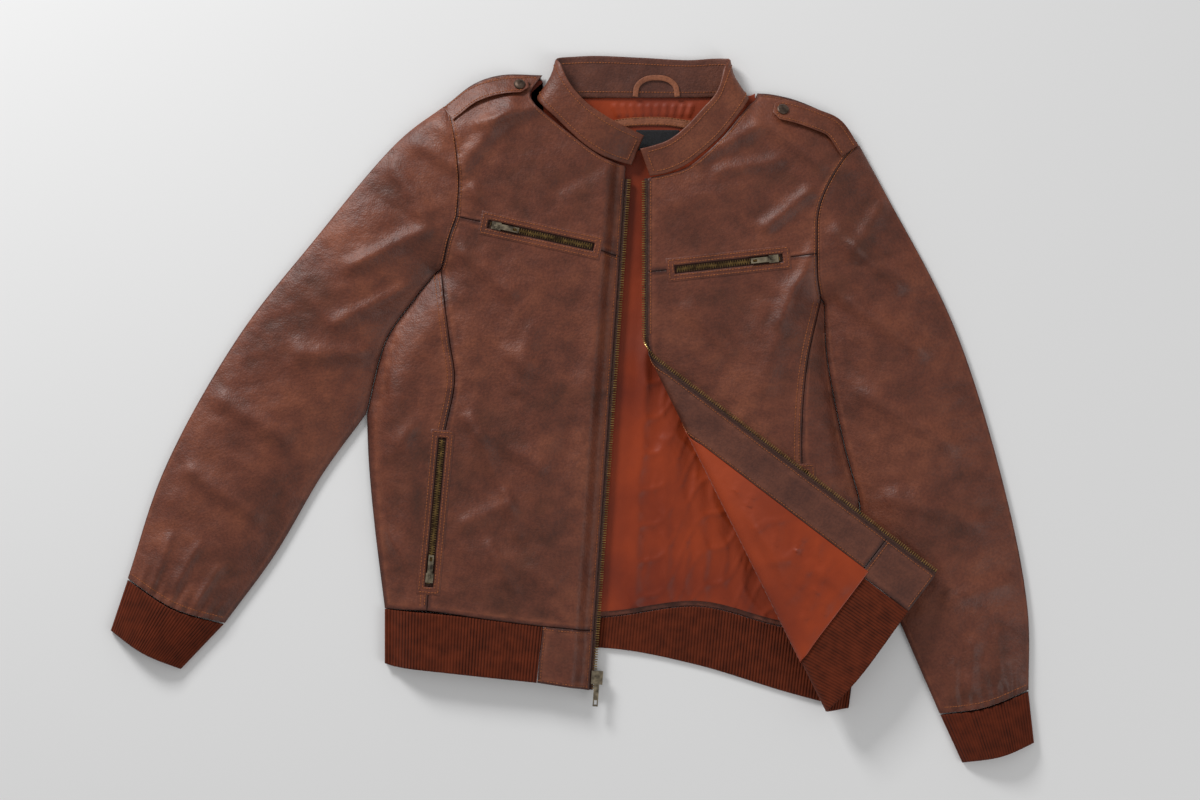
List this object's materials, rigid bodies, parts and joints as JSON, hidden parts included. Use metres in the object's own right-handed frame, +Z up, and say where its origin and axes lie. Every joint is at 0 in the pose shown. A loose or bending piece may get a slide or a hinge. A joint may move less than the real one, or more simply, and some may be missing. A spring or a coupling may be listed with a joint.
{
  "type": "leather riding jacket",
  "caption": "Leather riding jacket laid open on its back, with stand collar, epaulettes, slanted zip pockets, metal front zip and rib-knit hem and cuffs.",
  "frame": {"origin": "on the table, under the middle of the laid-out jacket", "axes": "+X towards the jacket's left sleeve, +Y towards the collar, +Z up from the table"},
  "size_m": [0.9694, 0.7416, 0.0363],
  "materials": {
    "leather": "waxed brown cowhide, lightly burnished",
    "facing_leather": "brown leather, semi-matt",
    "tan_leather": "tan leather",
    "satin": "burnt-orange satin lining",
    "rib_knit": "dark rust rib knit",
    "dark_metal": "dark antique pewter",
    "zip_teeth": "antique brass teeth on brown tape",
    "label_cloth": "black woven label, blank"
  },
  "bodies": {
    "jacket": {"back_panel": "leather", "back_lining": "satin", "hem_rib_back": "rib_knit", "front_yoke_right": "leather", "front_panel_right": "leather", "front_side_right": "leather", "front_facing_right": "facing_leather", "front_lining_right": "satin", "hem_rib_right": "rib_knit", "hem_tab_right": "leather", "front_yoke_left": "leather", "front_panel_left": "leather", "front_side_left": "leather", "front_facing_left": "facing_leather", "front_lining_left": "satin", "hem_rib_left": "rib_knit", "hem_tab_left": "leather", "zip_chain_right": "zip_teeth", "zip_chain_left": "zip_teeth", "chest_right_zip_chain": "zip_teeth", "chest_right_welt": "leather", "chest_left_zip_chain": "zip_teeth", "chest_left_welt": "leather", "hand_right_zip_chain": "zip_teeth", "hand_right_welt": "leather", "hand_left_zip_chain": "zip_teeth", "hand_left_welt": "leather", "collar_outer": "leather", "collar_inner": "facing_leather", "neck_facing": "tan_leather", "neck_label": "label_cloth", "hanger_loop": "tan_leather", "snap_stud_right": "dark_metal", "snap_stud_left": "dark_metal", "sleeve_top_right": "leather", "sleeve_under_right": "leather", "sleeve_lining_right": "satin", "cuff_right": "rib_knit", "sleeve_top_left": "leather", "sleeve_under_left": "leather", "sleeve_lining_left": "satin", "cuff_left": "rib_knit"},
    "front_slider": {"zip_slider": "dark_metal"},
    "front_pull": {"zip_pull": "dark_metal"},
    "chest_right_slider_body": {"chest_right_slider": "dark_metal"},
    "chest_right_pull_body": {"chest_right_pull": "dark_metal"},
    "chest_left_slider_body": {"chest_left_slider": "dark_metal"},
    "chest_left_pull_body": {"chest_left_pull": "dark_metal"},
    "hand_right_slider_body": {"hand_right_slider": "dark_metal"},
    "hand_right_pull_body": {"hand_right_pull": "dark_metal"},
    "hand_left_slider_body": {"hand_left_slider": "dark_metal"},
    "hand_left_pull_body": {"hand_left_pull": "dark_metal"},
    "epaulette_right_body": {"epaulette_right": "leather", "snap_cap_right": "dark_metal"},
    "epaulette_left_body": {"epaulette_left": "leather", "snap_cap_left": "dark_metal"}
  },
  "joints": [
    {"name": "front_zip_run", "type": "slide", "parent": "jacket", "child": "front_slider", "axis": [0.0694, 0.9976, 0], "range_m": [0, 0.5]},
    {"name": "front_pull_swing", "type": "hinge", "parent": "front_slider", "child": "front_pull", "pos_m": [0.02593, -0.28116, 0.0116], "axis": [-0.9976, 0.0694, 0], "range_deg": [0, 175]},
    {"name": "chest_right_zip_run", "type": "slide", "parent": "jacket", "child": "chest_right_slider_body", "axis": [0.977, -0.2132, 0], "range_m": [0, 0.08]},
    {"name": "chest_right_pull_swing", "type": "hinge", "parent": "chest_right_slider_body", "child": "chest_right_pull_body", "pos_m": [-0.07933, 0.19194, 0.0224], "axis": [-0.2132, -0.977, 0], "range_deg": [0, 175]},
    {"name": "chest_left_zip_run", "type": "slide", "parent": "jacket", "child": "chest_left_slider_body", "axis": [-0.994, -0.1094, 0], "range_m": [0, 0.08]},
    {"name": "chest_left_pull_swing", "type": "hinge", "parent": "chest_left_slider_body", "child": "chest_left_pull_body", "pos_m": [0.2106, 0.15752, 0.0224], "axis": [-0.1094, 0.994, 0], "range_deg": [0, 175]},
    {"name": "hand_right_zip_run", "type": "slide", "parent": "jacket", "child": "hand_right_slider_body", "axis": [0.0911, 0.9958, 0], "range_m": [0, 0.13]},
    {"name": "hand_right_pull_swing", "type": "hinge", "parent": "hand_right_slider_body", "child": "hand_right_pull_body", "pos_m": [-0.14929, -0.17627, 0.0224], "axis": [0.9958, -0.0911, 0], "range_deg": [0, 175]},
    {"name": "hand_left_zip_run", "type": "slide", "parent": "jacket", "child": "hand_left_slider_body", "axis": [-0.0591, 0.9983, 0], "range_m": [0, 0.13]},
    {"name": "hand_left_pull_swing", "type": "hinge", "parent": "hand_left_slider_body", "child": "hand_left_pull_body", "pos_m": [0.25056, -0.21194, 0.0224], "axis": [0.9983, 0.0591, 0], "range_deg": [0, 8]},
    {"name": "epaulette_right_lift", "type": "hinge", "parent": "jacket", "child": "epaulette_right_body", "pos_m": [-0.13001, 0.30984, 0.01151], "axis": [0.5397, -0.722, 0.4329], "range_deg": [0, 100]},
    {"name": "epaulette_left_lift", "type": "hinge", "parent": "jacket", "child": "epaulette_left_body", "pos_m": [0.29098, 0.27084, 0.01241], "axis": [0.7265, 0.507, -0.4639], "range_deg": [0, 100]}
  ]
}
